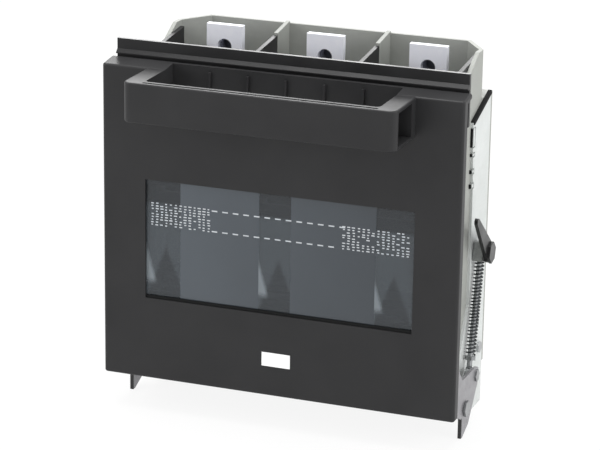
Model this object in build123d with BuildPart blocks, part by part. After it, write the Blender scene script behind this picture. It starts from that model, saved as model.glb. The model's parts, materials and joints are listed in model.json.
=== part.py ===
"""Three-pole fuse switch disconnector with a swing-out cover that carries the fuse links.

X runs across the poles, +Y runs back into the mounting panel and +Z is up.
The origin is on the mounting plane, in the middle of the four panel screw holes.
All lengths are in millimetres.
"""

import os
from math import asin, atan, cos, degrees, hypot, radians, sin

from build123d import *

# Overall sizes
cover_overhang = 17  # from the housing's side out to the cover's edge
cover_height = 232
cover_drop = 106  # from the fuse centre line down to the cover's bottom edge
mount_depth = 125  # from the cover's face back to the mounting plane
pole_pitch = 78
seat_gap = 0.2  # rest clearance between pieces that seat on each other
bite = 1  # how far two shapes of one moulding run into each other
corner_share = 0.7  # part of an eye's half width at which its corners are cut

# Cover moulding
cover_wall = 3
skirt_depth = 8
skirt_wall = 2.5
top_flange_depth = 16.6
top_flange_rise = 2
cover_rounding = 1.6
window_width = 202
window_height = 89
window_lip = 2
pane_lap = 2
pane_thickness = 2.5
label_width = 21.6
label_height = 10.4
label_z = -78.5
label_recess = 0.9
label_thickness = 0.6

# Handle moulded on the cover
handle_width = 199
handle_height = 28.5
handle_reach = 43
handle_bar = 8
handle_arm = 14
handle_corner = 6
handle_rounding = 1.2
bar_groove_width = 2.4
bar_groove_depth = 1.6
arm_pocket_depth = 9
arm_pocket_rear = 9
arm_pocket_margin = 2.5
recess_depth = 14
recess_wall = 2.5
recess_slope = 12
recess_floor = 7
recess_ribs = 5
recess_rib_width = 1.6
recess_rib_height = 2

# Hinge of the cover
hinge_depth = 43
hinge_drop = 5  # from the bottom edge of the cover down to the hinge
hinge_pin_radius = 4
hinge_head_radius = 6
hinge_head_height = 1.6
hinge_play = 0.4  # end play of the hinge arm between the pin's shoulder and head
running_clearance = 0.06
hinge_arm_thickness = 2.5
hinge_arm_flange = 13
arm_flange_rise = 42  # top of the screw flange above the hinge
arm_screw_rises = (15, 34)
arm_heel_drop = 6
arm_toe_drop = 15
arm_eye = 9  # half width of the arm round the hinge pin
crank_eye = 7  # half width of the arm round the crank pin
arm_web_rise = 24
arm_neck_depth = 21
arm_neck_rise = 39
arm_gap = 0.3
arm_foot_depth = 35
arm_foot_width = 3.5

# Over-centre spring drive on each side
opening_angle = 66
crank_radius = 30
crank_pin_radius = 3
crank_head_radius = 4.5
crank_head_height = 1.5
trunnion_inset = 37  # from the mounting plane
trunnion_z = -7
rod_radius = 2
rod_overrun = 16
rod_eye_radius = 5.5
rod_eye_thickness = 3.6
rod_eye_gap = 1.3
collar_radius = 4
collar_length = 3
collar_offset = 10.5
trunnion_size = 14
trunnion_thickness = 7.2
trunnion_gap = 0.8
trunnion_journal_radius = 4
rod_play = 0.3  # room on each side of the rod, across the trunnion's slot
rod_side_play = 1.2  # room along the slot, because the drive swings the rod a little unevenly
peg_width = 2
peg_inset = 1.2
spring_radius = 3.2
spring_wire = 1.2
knob_radius = 8
knob_height = 2
knob_gap = 0.8
cam_thickness = 2.6
cam_hub_radius = 7.5
cam_reach = 45
cam_tip_radius = 2.5
cam_lean = 45

# Fuse links
fuse_width = 58
fuse_height = 66
fuse_rounding = 8
fuse_axis_depth = 57
end_plate = 3
blade_thickness = 6
blade_width = 26
blade_length = 39
blade_chamfer = 5
lug_width = 30
lug_reach = 14
lug_lip = 2.5
lug_lip_height = 7

# Fuse carrier behind the cover
carrier_recess_gap = 2  # between the carrier's edge and the underside of the finger recess
carrier_plate = 3
carrier_rear = 57
carrier_window_width = 48
carrier_window_height = 80
partition_height = 88
partition_wall = 3
cheek_end_inset = 18
cheek_wall = 2.5
cheek_gap = 0.25  # from the outer fuse links to the cheeks
cheek_inset = 2.25
seat_bar_z = 26
seat_bar_height = 4
seat_bar_width = 54
clip_width = 20
clip_thickness = 1.2
clip_stub_height = 4
clip_stub_reach = 3
screw_post_width = 9
carrier_screw_inset = 6
small_head_radius = 3

# Contacts and terminals
jaw_height = 28
jaw_gap = 8  # from the end plate of a fuse link to the near end of its jaw
jaw_lip = 2
jaw_clearance = 0.1
jaw_flare = 2.5
jaw_flare_length = 6
jaw_base_width = 24
jaw_front_depth = 50
jaw_spring_thickness = 1
jaw_spring_bow = 1.5
jaw_spring_length = 26
jaw_spring_inset = 4
bar_width = 28
bar_thickness = 5
bar_tail = 4
bar_rise = 0.6  # of the line terminals above the housing
bar_inset = 2  # of the load terminals from the housing's lower edge
terminal_hole_radius = 5.5
terminal_hole_inset = 16
contact_screw_x = 9
contact_head_radius = 2.8
head_height = 2

# Base housing
housing_gap = 4.25  # from the carrier's cheeks to the housing's side walls
housing_wall = 3
line_bay_height = 36
load_bay_height = 28.5
platform_thickness = 28  # from the mounting plane to the surface that carries the contacts
platform_margin = 23  # from the arc chambers' lower edge up to the end of the platform
bay_rear_inset = 6  # from the mounting plane to the rear walls of the bays
bay_corner_inset = 18
side_wall_front = 26
side_wall_foot = 16  # from the cover's bottom edge up to the foot of the side wall's front edge
side_wall_head = 5  # from the end of the platform up to the side wall's front corner
wall_ramp_reach = 3  # in front of the side plate
wall_ramp_drop = 10
wall_crest_inset = 15
wall_ear = 12  # how far the side wall stands in front of the hinge
wall_ear_drop = 7
wall_heel_depth = 53
wall_heel_drop = 8
wall_toe_drop = 18
barrier_thickness = 3
barrier_slope = 2.4
barrier_crest = 1.5
bay_barrier_reach = 2  # in front of the platform
mid_barrier_front = 60
mid_barrier_half = 79
mount_spacing_z = 180
mount_hole_radius = 3.5
mount_rib = 18
rear_pocket_depth = 22
rear_pocket_margin = 5

# Arc chambers over the line contacts
arc_width = 25
arc_wall = 2
arc_gap = 5  # from the tips of the blades to the arc chambers
arc_front_depth = 46
arc_rear_gap = 2
arc_plate_count = 6
arc_plate_thickness = 1
arc_plate_pitch = 3
arc_plate_inset = 2
arc_notch_depth = 12

# Shrouds over the terminal bays
shroud_inset = 3  # from the cover's edge
shroud_depth = 20
shroud_wall = 3
shroud_rise = 1.5  # above the housing
shroud_ledge = 2.5
shroud_ledge_drop = 10
shroud_ledge_lip = 0.8
shroud_rib_front_drop = 13.2
shroud_rib_rear_drop = 5.5
lower_shroud_depth = 56
lower_shroud_drop = 15

# Galvanised side plates, hooked into slots of the housing and screwed at the bottom
plate_thickness = 2
plate_width = 42
plate_top_front = 91.5
plate_top_rear = 106
plate_front_slant = 4
plate_slant_z = 39
plate_brace_z = -45
plate_rear_inset = 10
plate_notch = 2
plate_ear = 9  # how far the plate stands in front of the hinge
plate_ear_rise = 8
plate_ear_drop = 6.5
plate_heel_drop = 7.5
plate_toe_drop = 17
plate_toe_inset = 4
plate_arm_depth = 50
plate_arm_rise = 20
hook_slots = [(72.5, 88), (65.5, 69.5), (53, 57.5), (42, 47)]  # lower and upper end of each
hook_slot_inset = 0.8
hook_slot_width = 5.5
drive_slot_depth = 98
drive_slot_z = -52
drive_slot_length = 40
drive_slot_width = 8
drive_slot_lean = 10
side_screw_sites = [(104, -86), (84, -112)]  # depth and height of each
side_head_radius = 4.4

# Positions worked out from the sizes above, across the poles
pole_x = [-pole_pitch, 0, pole_pitch]
cheek_inner = pole_pitch + fuse_width / 2 + cheek_gap
cheek_outer = cheek_inner + cheek_wall
carrier_side = cheek_outer + cheek_inset
carrier_screw_x = carrier_side - carrier_screw_inset
housing_inner = cheek_outer + housing_gap
housing_side = housing_inner + housing_wall
plate_outer = housing_side + plate_thickness
cover_side = housing_side + cover_overhang
shroud_side = cover_side - shroud_inset
shroud_floor_half = housing_inner - arm_gap
shroud_ribs = [-pole_pitch / 2, pole_pitch / 2]
shroud_ribs += [side * (shroud_floor_half - barrier_thickness / 2) for side in (-1, 1)]
bay_corner_x = housing_side - bay_corner_inset
handle_inner = handle_width / 2 - handle_arm
rod_x = plate_outer + trunnion_gap + trunnion_thickness / 2
hinge_arm_inner = rod_x + rod_eye_thickness / 2 + rod_eye_gap
hinge_arm_outer = hinge_arm_inner + hinge_arm_thickness
arm_screw_x = hinge_arm_inner - hinge_arm_flange / 2
knob_inner = rod_x + trunnion_thickness / 2 + knob_gap
knob_base = knob_inner + cam_thickness
jaw_inner_x = blade_thickness / 2 + jaw_clearance

# Heights from the fuse centre line
fuse_end_z = fuse_height / 2 + end_plate
clip_low_z = fuse_height / 2 + lug_lip_height + seat_gap  # the clips reach over the lips of the fuse lugs
jaw_start = fuse_end_z + jaw_gap
bar_start = jaw_start - bar_tail
arc_start = fuse_end_z + blade_length + arc_gap
platform_half = arc_start + platform_margin
housing_top = platform_half + line_bay_height
housing_bottom = -platform_half - load_bay_height
bar_top = housing_top + bar_rise
bar_bottom = -housing_bottom - bar_inset
shroud_top = housing_top + shroud_rise
shroud_ledge_z = shroud_top - shroud_ledge_drop
cover_top = cover_height - cover_drop
cover_bottom = -cover_drop
hinge_z = cover_bottom - hinge_drop
handle_z = cover_top - handle_height
recess_low = handle_z - recess_floor
carrier_half = recess_low - recess_wall - carrier_recess_gap
carrier_screw_z = carrier_half - carrier_screw_inset
cheek_half = carrier_half - cheek_end_inset

# Depths from the cover's face, and places along Y
face_y = -mount_depth
recess_back = recess_depth + recess_wall
pane_rear_depth = window_lip + pane_thickness
carrier_front_depth = pane_rear_depth + seat_gap
carrier_back_depth = carrier_front_depth + carrier_plate
fuse_front_depth = fuse_axis_depth - fuse_width / 2
platform_depth = mount_depth - platform_thickness
bay_corner_depth = platform_depth
bay_barrier_front = platform_depth - bay_barrier_reach
bay_rear_depth = mount_depth - bay_rear_inset
bar_front_depth = platform_depth - bar_thickness
arc_rear_depth = bar_front_depth - arc_rear_gap
jaw_base_front_depth = bar_front_depth - jaw_lip
bay_back_depth = bay_rear_depth + housing_wall
plate_rear_depth = mount_depth - plate_rear_inset
plate_front_depth = plate_rear_depth - plate_width
wall_ramp_depth = plate_front_depth - wall_ramp_reach
wall_crest_depth = plate_front_depth + wall_crest_inset
trunnion_depth = mount_depth - trunnion_inset
arm_flange_front = cover_wall + seat_gap
arm_flange_back = arm_flange_front + hinge_arm_thickness
fuse_y = face_y + fuse_axis_depth
hinge_y = face_y + hinge_depth
trunnion_y = face_y + trunnion_depth

# The crank pin swings from half the opening angle behind the line of centres to as far in front of it
centre_distance = hypot(trunnion_y - hinge_y, trunnion_z - hinge_z)
centre_lean = degrees(asin((trunnion_y - hinge_y) / centre_distance))
crank_lean = centre_lean + opening_angle / 2
crank_y = hinge_y + crank_radius * sin(radians(crank_lean))
crank_z = hinge_z + crank_radius * cos(radians(crank_lean))
rod_length = hypot(trunnion_y - crank_y, trunnion_z - crank_z)
rod_lean = degrees(atan((trunnion_y - crank_y) / (trunnion_z - crank_z)))


def side_face(points):
    """Closed outline in the current sketch, from pairs of depth behind the cover's face and height."""
    with BuildLine() as outline:
        Polyline(*[(face_y + depth, height) for depth, height in points], close=True)
    make_face(outline.line)


def plan_face(points):
    """Closed outline in the current plan sketch, from pairs of x and depth behind the cover's face."""
    with BuildLine() as outline:
        Polyline(*[(x, face_y + depth) for x, depth in points], close=True)
    make_face(outline.line)


def slab(side, inner, outer):
    """Plane and thickness of a plate that lies between two distances out from the middle on one side."""
    low = min(side * inner, side * outer)
    return Plane.YZ.offset(low), abs(outer - inner)


def limits_box(x, depth, z, mode=Mode.ADD):
    """Box between limits in x, in depth behind the cover's face and in z."""
    centre = ((x[0] + x[1]) / 2, face_y + (depth[0] + depth[1]) / 2, (z[0] + z[1]) / 2)
    with Locations(centre):
        Box(x[1] - x[0], depth[1] - depth[0], z[1] - z[0], mode=mode)


def cross_pin(side, inner, outer, y, z, radius, mode=Mode.ADD):
    """Round pin or hole along X between two distances out from the middle on one side."""
    plane, length = slab(side, inner, outer)
    with BuildSketch(plane) as disc:
        with Locations((y, z)):
            Circle(radius)
    extrude(disc.sketch, amount=length, mode=mode)


def cross_hexagon(side, inner, outer, y, z, radius, rotation=0):
    """Hexagon head or shoulder along X between two distances out from the middle on one side."""
    plane, length = slab(side, inner, outer)
    with BuildSketch(plane) as hexagon:
        with Locations((y, z)):
            RegularPolygon(radius, 6, rotation=rotation)
    extrude(hexagon.sketch, amount=length)


def front_facing(depth):
    """Sketch plane that faces the front at a depth behind the cover's face, with x to the right and y up."""
    return Plane(origin=(0, face_y + depth, 0), x_dir=(1, 0, 0), z_dir=(0, -1, 0))


def save(piece, name):
    piece.part.label = name
    export_step(piece.part, f"parts/{name}.step")


def make_front_cover():
    """Black moulded cover: a shallow tray with a window, and a handle in front of a finger recess."""
    with BuildPart() as cover:
        # Tray with a sloping top flange
        with BuildSketch(Plane.YZ.offset(-cover_side)):
            side_face(
                [
                    (0, cover_bottom),
                    (0, cover_top),
                    (top_flange_depth, cover_top + top_flange_rise),
                    (top_flange_depth, cover_top + top_flange_rise - cover_wall),
                    (skirt_depth, cover_top - cover_wall),
                    (skirt_depth, cover_bottom),
                ]
            )
        extrude(amount=2 * cover_side)
        fillet(cover.edges().filter_by(Axis.Z).group_by(Axis.Y)[0], cover_rounding * 1.5)
        fillet(cover.faces().sort_by(Axis.Y)[0].edges(), cover_rounding)
        inner_x = cover_side - skirt_wall
        limits_box(
            (-inner_x, inner_x),
            (cover_wall, skirt_depth),
            (cover_bottom + skirt_wall, cover_top - cover_wall),
            mode=Mode.SUBTRACT,
        )
        # Finger recess behind the handle, open at the top, with stiffening ribs
        limits_box(
            (-handle_inner - recess_wall, handle_inner + recess_wall),
            (cover_wall / 2, recess_back),
            (recess_low - recess_wall, cover_top),
        )
        with BuildSketch(Plane.YZ.offset(-handle_inner)):
            side_face(
                [
                    (-bite, cover_top + 2 * top_flange_rise),
                    (recess_depth, cover_top + 2 * top_flange_rise),
                    (recess_depth, recess_low + recess_slope),
                    (0, recess_low),
                    (-bite, recess_low),
                ]
            )
        extrude(amount=2 * handle_inner, mode=Mode.SUBTRACT)
        rib_pitch = 2 * handle_inner / (recess_ribs + 1)
        for number in range(recess_ribs):
            rib_x = (number + 1) * rib_pitch - handle_inner
            limits_box(
                (rib_x - recess_rib_width / 2, rib_x + recess_rib_width / 2),
                (recess_depth - recess_rib_height, recess_depth + recess_wall / 2),
                (recess_low + recess_slope / 2, cover_top - recess_rib_height),
            )
        # Handle: a bar on two deep arms
        with BuildSketch(Plane.XY.offset(handle_z)) as grip:
            plan_face(
                [
                    (-handle_width / 2, cover_wall / 2),
                    (-handle_width / 2, -handle_reach),
                    (handle_width / 2, -handle_reach),
                    (handle_width / 2, cover_wall / 2),
                    (handle_inner, cover_wall / 2),
                    (handle_inner, handle_bar - handle_reach),
                    (-handle_inner, handle_bar - handle_reach),
                    (-handle_inner, cover_wall / 2),
                ]
            )
            fillet(grip.vertices().group_by(Axis.Y)[0], handle_corner)
            fillet(grip.vertices().group_by(Axis.Y)[-2], handle_corner / 2)
        extrude(amount=handle_height)
        bar_front = cover.faces().sort_by(Axis.Y)[0]
        fillet(bar_front.edges().filter_by(Axis.X), handle_rounding)
        for side in (-1, 1):
            pocket = sorted((side * (handle_width / 2 - arm_pocket_depth), side * handle_width))
            limits_box(
                pocket,
                (handle_corner - handle_reach, -arm_pocket_rear),
                (handle_z + arm_pocket_margin, cover_top - arm_pocket_margin),
                mode=Mode.SUBTRACT,
            )
        groove_depth = handle_bar / 2 - handle_reach
        limits_box(
            (-handle_inner, handle_inner),
            (groove_depth - bar_groove_width / 2, groove_depth + bar_groove_width / 2),
            (cover_top - bar_groove_depth, cover_top + bite),
            mode=Mode.SUBTRACT,
        )
        # Window with a seat for the pane on the inside
        limits_box(
            (-window_width / 2, window_width / 2),
            (-bite, cover_wall + bite),
            (-window_height / 2, window_height / 2),
            mode=Mode.SUBTRACT,
        )
        pane_seat_x = window_width / 2 + pane_lap + seat_gap
        pane_seat_z = window_height / 2 + pane_lap + seat_gap
        limits_box(
            (-pane_seat_x, pane_seat_x),
            (window_lip, cover_wall + bite),
            (-pane_seat_z, pane_seat_z),
            mode=Mode.SUBTRACT,
        )
        # Seat of the marking plate
        limits_box(
            (-label_width / 2 - seat_gap, label_width / 2 + seat_gap),
            (-bite, label_recess),
            (label_z - label_height / 2 - seat_gap, label_z + label_height / 2 + seat_gap),
            mode=Mode.SUBTRACT,
        )
        # Posts that the carrier is screwed to
        with BuildSketch(front_facing(carrier_front_depth)):
            with GridLocations(2 * carrier_screw_x, 2 * carrier_screw_z, 2, 2):
                Rectangle(screw_post_width, screw_post_width)
        extrude(amount=carrier_front_depth - cover_wall / 2)
    return cover


def make_hinge_arm(side):
    """Zinc-plated steel arm with a screw flange, the hinge hole, the crank hole and a foot."""
    crank_depth = crank_y - face_y
    skirt_top = cover_bottom + skirt_wall + arm_gap
    crank_corner = corner_share * crank_eye
    with BuildPart() as arm:
        plane, thickness = slab(side, hinge_arm_inner, hinge_arm_outer)
        with BuildSketch(plane):
            side_face(
                [
                    (arm_flange_front, hinge_z + arm_flange_rise),
                    (arm_flange_front, skirt_top),
                    (skirt_depth + arm_gap, skirt_top),
                    (arm_foot_depth, hinge_z - arm_heel_drop),
                    (arm_foot_depth, housing_bottom),
                    (arm_foot_depth + arm_foot_width, housing_bottom),
                    (hinge_depth + arm_eye, hinge_z - arm_toe_drop),
                    (crank_depth + crank_corner, crank_z - crank_eye),
                    (crank_depth + crank_eye, crank_z),
                    (crank_depth + crank_corner, crank_z + crank_corner),
                    (crank_depth - crank_corner, crank_z + crank_eye),
                    (arm_foot_depth, hinge_z + arm_web_rise),
                    (arm_neck_depth, hinge_z + arm_neck_rise),
                ]
            )
        extrude(amount=thickness)
        limits_box(
            sorted((side * (hinge_arm_inner - hinge_arm_flange), side * hinge_arm_outer)),
            (arm_flange_front, arm_flange_back),
            (skirt_top, hinge_z + arm_flange_rise),
        )
        for y, z, radius in (
            (hinge_y, hinge_z, hinge_pin_radius),
            (crank_y, crank_z, crank_pin_radius),
        ):
            cross_pin(
                side,
                hinge_arm_inner,
                hinge_arm_outer,
                y,
                z,
                radius + running_clearance,
                mode=Mode.SUBTRACT,
            )
    return arm


def make_window_pane():
    """Clear polycarbonate pane that seats in the cover from behind."""
    with BuildPart() as pane:
        with BuildSketch(front_facing(pane_rear_depth)):
            Rectangle(window_width + 2 * pane_lap, window_height + 2 * pane_lap)
        extrude(amount=pane_thickness)
    return pane


def make_label_plate():
    """Plain white marking plate in its seat below the window."""
    with BuildPart() as plate:
        with BuildSketch(front_facing(label_recess)):
            with Locations((0, label_z)):
                Rectangle(label_width, label_height)
        extrude(amount=label_thickness)
    return plate


def make_fuse_carrier():
    """Black moulded carrier: a plate with pole windows, partitions, cheeks and seats for the fuses."""
    with BuildPart() as carrier:
        with BuildSketch(front_facing(carrier_back_depth)):
            Rectangle(2 * carrier_side, 2 * carrier_half)
            with GridLocations(pole_pitch, 0, len(pole_x), 1):
                Rectangle(carrier_window_width, carrier_window_height, mode=Mode.SUBTRACT)
        extrude(amount=carrier_plate)
        for side in (-1, 1):
            partition_x = side * pole_pitch / 2
            limits_box(
                (partition_x - partition_wall / 2, partition_x + partition_wall / 2),
                (carrier_back_depth, carrier_rear),
                (-partition_height / 2, partition_height / 2),
            )
            plane, thickness = slab(side, cheek_inner, cheek_outer)
            with BuildSketch(plane):
                side_face(
                    [
                        (carrier_back_depth, -cheek_half),
                        (carrier_back_depth, cheek_half),
                        (carrier_rear / 2, cheek_half),
                        (carrier_rear, partition_height / 2),
                        (carrier_rear, -partition_height / 2),
                        (carrier_rear / 2, -cheek_half),
                    ]
                )
            extrude(amount=thickness)
            # A bar at each end of every fuse, and a stub that backs its clip
            for x in pole_x:
                limits_box(
                    (x - seat_bar_width / 2, x + seat_bar_width / 2),
                    (carrier_back_depth - bite, fuse_front_depth - seat_gap),
                    (side * seat_bar_z - seat_bar_height / 2, side * seat_bar_z + seat_bar_height / 2),
                )
                limits_box(
                    (x - clip_width / 2, x + clip_width / 2),
                    (carrier_back_depth - bite, carrier_back_depth + clip_stub_reach),
                    sorted((side * (clip_low_z - clip_stub_height), side * clip_low_z)),
                )
    return carrier


def make_fuse_body(x):
    """Square ceramic body of one fuse link, with rounded corners."""
    with BuildPart() as body:
        with BuildSketch(Plane.XY.offset(-fuse_height / 2)):
            with Locations((x, fuse_y)):
                RectangleRounded(fuse_width, fuse_width, fuse_rounding)
        extrude(amount=fuse_height)
    return body


def make_fuse_contact(x, side):
    """End plate of a fuse link with its knife blade and the lipped lug that the carrier grips."""
    with BuildPart() as contact:
        inner_z = side * fuse_height / 2
        far = fuse_width / 2
        near = far - fuse_rounding
        with BuildSketch(Plane.XY.offset(inner_z)):
            plan_face(
                [
                    (x + across, fuse_axis_depth + along)
                    for across, along in (
                        (-far, -near),
                        (-near, -far),
                        (near, -far),
                        (far, -near),
                        (far, near),
                        (near, far),
                        (-near, far),
                        (-far, near),
                    )
                ]
            )
        extrude(amount=side * end_plate)
        with BuildSketch(Plane.YZ.offset(x - blade_thickness / 2)):
            blade_low = side * (fuse_end_z - end_plate / 2)
            blade_tip = side * (fuse_end_z + blade_length)
            half = blade_width / 2
            side_face(
                [
                    (fuse_axis_depth - half, blade_low),
                    (fuse_axis_depth - half, blade_tip - side * blade_chamfer),
                    (fuse_axis_depth - half + blade_chamfer, blade_tip),
                    (fuse_axis_depth + half - blade_chamfer, blade_tip),
                    (fuse_axis_depth + half, blade_tip - side * blade_chamfer),
                    (fuse_axis_depth + half, blade_low),
                ]
            )
        extrude(amount=blade_thickness)
        lug_front = fuse_front_depth - lug_reach
        with BuildSketch(Plane.YZ.offset(x - lug_width / 2)):
            side_face(
                [
                    (fuse_front_depth + fuse_rounding, inner_z),
                    (lug_front, inner_z),
                    (lug_front, inner_z + side * lug_lip_height),
                    (lug_front + lug_lip, inner_z + side * lug_lip_height),
                    (lug_front + lug_lip, side * fuse_end_z),
                    (fuse_front_depth + fuse_rounding, side * fuse_end_z),
                ]
            )
        extrude(amount=lug_width)
    return contact


def make_fuse_clips(x):
    """Pair of steel clips that hook behind the lug lips of one fuse link."""
    lip_back = fuse_front_depth - lug_reach + lug_lip + seat_gap
    with BuildPart() as clips:
        for side in (-1, 1):
            with BuildSketch(Plane.YZ.offset(x - clip_width / 2)):
                side_face(
                    [
                        (carrier_back_depth, side * clip_low_z),
                        (carrier_back_depth, side * (clip_low_z + clip_thickness)),
                        (lip_back + clip_thickness, side * (clip_low_z + clip_thickness)),
                        (lip_back + clip_thickness, side * (fuse_end_z + seat_gap)),
                        (lip_back, side * (fuse_end_z + seat_gap)),
                        (lip_back, side * clip_low_z),
                    ]
                )
            extrude(amount=clip_width)
    return clips


def make_screws(sites, direction, radius):
    """Group of equal hexagon screw heads, each on its site, where its shank goes into the piece below."""
    with BuildPart() as screws:
        for site in sites:
            with BuildSketch(Plane(origin=site, z_dir=direction)):
                RegularPolygon(radius, 6)
            extrude(amount=head_height)
    return screws


def make_jaw(x, side):
    """Spring-copper jaw: a base plate with two lips that flare to take the fuse blade from the front."""
    near = min(side * jaw_start, side * (jaw_start + jaw_height))
    with BuildPart() as jaw:
        with BuildSketch(Plane.XY.offset(near)):
            plan_face(
                [
                    (x - jaw_base_width / 2, jaw_base_front_depth),
                    (x - jaw_base_width / 2, bar_front_depth),
                    (x + jaw_base_width / 2, bar_front_depth),
                    (x + jaw_base_width / 2, jaw_base_front_depth),
                ]
            )
            for hand in (-1, 1):
                plan_face(
                    [
                        (x + hand * jaw_inner_x, bar_front_depth),
                        (x + hand * jaw_inner_x, jaw_front_depth + jaw_flare_length),
                        (x + hand * (jaw_inner_x + jaw_flare), jaw_front_depth),
                        (x + hand * (jaw_inner_x + jaw_flare + jaw_lip), jaw_front_depth),
                        (x + hand * (jaw_inner_x + jaw_lip), jaw_front_depth + jaw_flare_length),
                        (x + hand * (jaw_inner_x + jaw_lip), bar_front_depth),
                    ]
                )
        extrude(amount=jaw_height)
    return jaw


def make_jaw_springs(side):
    """Bowed leaf springs that press the jaw lips together, two to a jaw."""
    low = side * (jaw_start + jaw_spring_inset)
    high = side * (jaw_start + jaw_height - jaw_spring_inset)
    foot_x = jaw_inner_x + jaw_lip
    rear = jaw_base_front_depth - jaw_spring_inset
    front = rear - jaw_spring_length
    middle = (rear + front) / 2
    with BuildPart() as springs:
        for x in pole_x:
            for hand in (-1, 1):
                with BuildSketch(Plane.XY.offset(min(low, high))):
                    plan_face(
                        [
                            (x + hand * foot_x, rear),
                            (x + hand * (foot_x + jaw_spring_bow), middle),
                            (x + hand * foot_x, front),
                            (x + hand * (foot_x + jaw_spring_thickness), front),
                            (
                                x + hand * (foot_x + jaw_spring_bow + jaw_spring_thickness),
                                middle,
                            ),
                            (x + hand * (foot_x + jaw_spring_thickness), rear),
                        ]
                    )
                extrude(amount=abs(high - low))
    return springs


def make_terminal(x, side):
    """Flat silver-plated terminal bar, with a bolt hole in the tab that stands in the bay."""
    tip = bar_top if side > 0 else bar_bottom
    with BuildPart() as bar:
        with BuildSketch(front_facing(platform_depth)):
            with Locations((x, side * (bar_start + tip) / 2)):
                Rectangle(bar_width, tip - bar_start)
            with Locations((x, side * (tip - terminal_hole_inset))):
                Circle(terminal_hole_radius, mode=Mode.SUBTRACT)
        extrude(amount=bar_thickness)
    return bar


def make_base_housing():
    """Moulded base: contact platform, rear wall, side walls, pole barriers and a terminal bay at each end."""
    barrier_rear = bay_rear_depth + bite
    with BuildPart() as housing:
        # Platform, hollowed from behind between stiff ribs that carry the panel screws
        limits_box(
            (-housing_side, housing_side),
            (platform_depth, mount_depth),
            (-platform_half, platform_half),
        )
        pocket_height = platform_half - 1.5 * rear_pocket_margin
        with BuildSketch(front_facing(mount_depth)):
            with GridLocations(pole_pitch, platform_half - rear_pocket_margin / 2, len(pole_x), 2):
                Rectangle(pole_pitch - mount_rib, pocket_height)
        extrude(amount=rear_pocket_depth, mode=Mode.SUBTRACT)
        # Side walls, with slots that the side plates hook into
        for side in (-1, 1):
            plane, thickness = slab(side, housing_inner, housing_side)
            with BuildSketch(plane):
                side_face(
                    [
                        (side_wall_front, cover_bottom + side_wall_foot),
                        (side_wall_front, platform_half + side_wall_head),
                        (wall_ramp_depth, housing_top - wall_ramp_drop),
                        (wall_crest_depth, housing_top),
                        (bay_corner_depth + bite, housing_top),
                        (bay_corner_depth + bite, housing_bottom),
                        (plate_front_depth, hinge_z - wall_toe_drop),
                        (wall_heel_depth, hinge_z - wall_heel_drop),
                        (hinge_depth - wall_ear / 2, hinge_z - wall_ear_drop),
                        (hinge_depth - wall_ear, hinge_z),
                    ]
                )
            extrude(amount=thickness)
            for low, high in hook_slots:
                limits_box(
                    sorted((side * (housing_inner - bite), side * (housing_side + bite))),
                    (plate_front_depth, plate_front_depth + hook_slot_width),
                    (low + hook_slot_inset, high - hook_slot_inset),
                    mode=Mode.SUBTRACT,
                )
        # Terminal bays with cut-off rear corners
        outer_corner = bay_corner_x + housing_wall / 2
        for low, high in ((platform_half, housing_top), (housing_bottom, -platform_half)):
            with BuildSketch(Plane.XY.offset(low)):
                plan_face(
                    [
                        (housing_side, bay_barrier_front),
                        (housing_side, bay_corner_depth + bite),
                        (outer_corner, bay_back_depth),
                        (-outer_corner, bay_back_depth),
                        (-housing_side, bay_corner_depth + bite),
                        (-housing_side, bay_barrier_front),
                        (-housing_inner, bay_barrier_front),
                        (-housing_inner, bay_corner_depth),
                        (-bay_corner_x, bay_rear_depth),
                        (bay_corner_x, bay_rear_depth),
                        (housing_inner, bay_corner_depth),
                        (housing_inner, bay_barrier_front),
                    ]
                )
            extrude(amount=high - low)
        # Barriers between the poles
        for side in (-1, 1):
            with BuildSketch(Plane.YZ.offset(side * pole_pitch / 2 - barrier_thickness / 2)):
                side_face(
                    [
                        (bay_barrier_front, platform_half - barrier_thickness),
                        (bay_barrier_front, housing_top - barrier_slope),
                        (barrier_rear, housing_top + barrier_crest),
                        (barrier_rear, platform_half - barrier_thickness),
                    ]
                )
                side_face(
                    [
                        (bay_barrier_front, -platform_half + barrier_thickness),
                        (bay_barrier_front, housing_bottom + barrier_slope),
                        (barrier_rear, housing_bottom),
                        (barrier_rear, -platform_half + barrier_thickness),
                    ]
                )
                side_face(
                    [
                        (mid_barrier_front, -mid_barrier_half),
                        (mid_barrier_front, mid_barrier_half),
                        (platform_depth + bite, mid_barrier_half),
                        (platform_depth + bite, -mid_barrier_half),
                    ]
                )
            extrude(amount=barrier_thickness)
        # Panel screw holes
        with BuildSketch(front_facing(mount_depth)):
            with GridLocations(pole_pitch, mount_spacing_z, 2, 2):
                Circle(mount_hole_radius)
        extrude(amount=mount_depth - mid_barrier_front, mode=Mode.SUBTRACT)
        # Holes across the side walls for the hinge pins and the spring journals
        for side in (-1, 1):
            for y, z, radius in (
                (hinge_y, hinge_z, hinge_pin_radius),
                (trunnion_y, trunnion_z, trunnion_journal_radius),
            ):
                cross_pin(
                    side,
                    housing_inner,
                    housing_side,
                    y,
                    z,
                    radius + running_clearance,
                    mode=Mode.SUBTRACT,
                )
    return housing


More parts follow.
